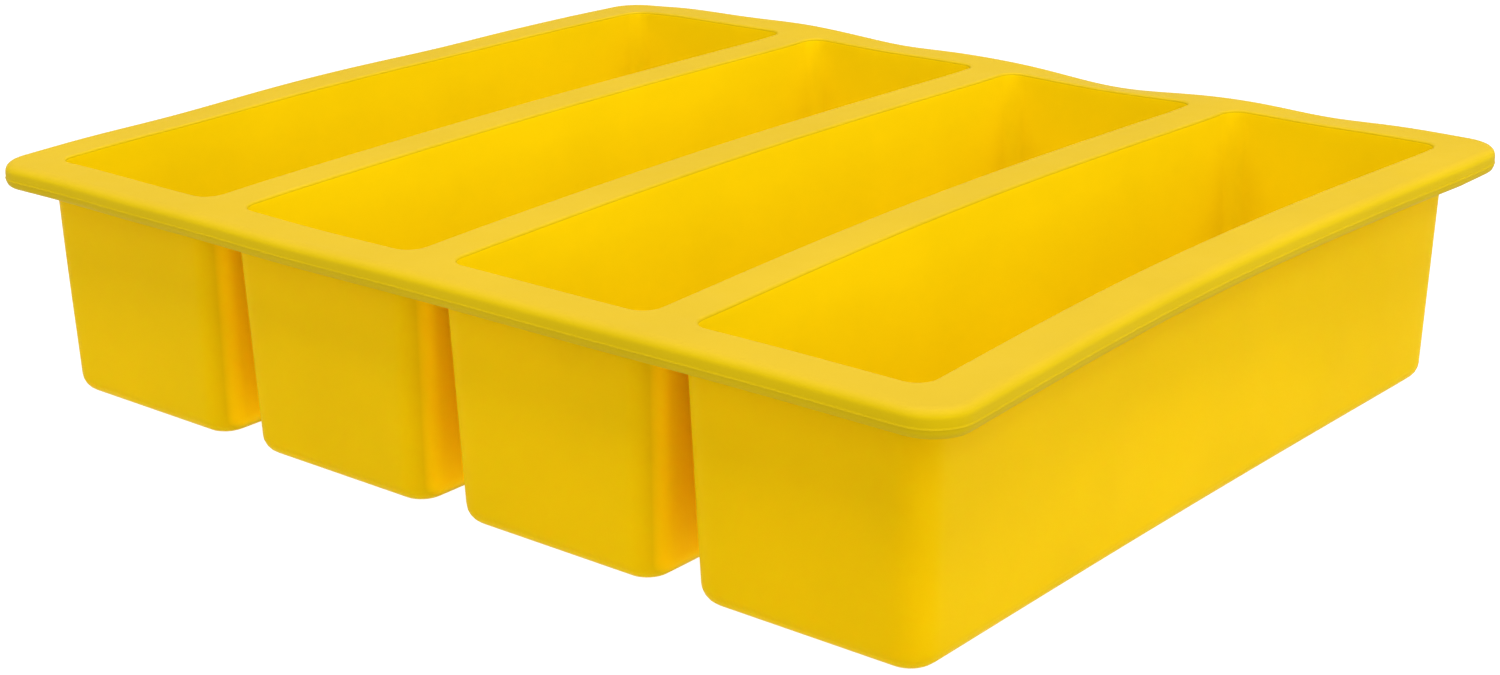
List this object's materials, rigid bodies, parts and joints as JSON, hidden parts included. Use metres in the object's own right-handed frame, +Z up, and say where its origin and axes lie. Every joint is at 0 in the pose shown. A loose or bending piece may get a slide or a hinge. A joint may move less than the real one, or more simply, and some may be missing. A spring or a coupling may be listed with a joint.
{
  "type": "silicone soap mould",
  "caption": "Flexible silicone mould: long open rectangular cups side by side under one flat rim, with gaps between the cups so that it flexes between them.",
  "frame": {"origin": "under the middle of the mould, on the surface that it stands on", "axes": "+X across the row of cups, +Y along each cup, +Z up out of the mouths"},
  "size_m": [0.239, 0.1944, 0.05],
  "materials": {
    "cup_silicone": "satin yellow silicone",
    "rim_silicone": "matt yellow silicone"
  },
  "bodies": {
    "section_1": {"trough_1": "cup_silicone", "rim_1": "rim_silicone"},
    "section_2": {"trough_2": "cup_silicone", "rim_2": "rim_silicone", "web_1_2": "rim_silicone", "web_2_3": "rim_silicone"},
    "section_3": {"trough_3": "cup_silicone", "rim_3": "rim_silicone", "web_3_4": "rim_silicone"},
    "section_4": {"trough_4": "cup_silicone", "rim_4": "rim_silicone"}
  },
  "joints": [
    {"name": "flex_1_2", "type": "hinge", "parent": "section_2", "child": "section_1", "pos_m": [-0.0568, 0, 0.0474], "axis": [0, 1, 0], "range_deg": [-8, 45], "stiffness_Nm_per_rad": 0.2, "deforming": ["web_1_2"]},
    {"name": "flex_2_3", "type": "hinge", "parent": "section_2", "child": "section_3", "pos_m": [0, 0, 0.0474], "axis": [0, -1, 0], "range_deg": [-8, 45], "stiffness_Nm_per_rad": 0.2, "deforming": ["web_2_3"]},
    {"name": "flex_3_4", "type": "hinge", "parent": "section_3", "child": "section_4", "pos_m": [0.0568, 0, 0.0474], "axis": [0, -1, 0], "range_deg": [-8, 45], "stiffness_Nm_per_rad": 0.2, "deforming": ["web_3_4"]}
  ]
}
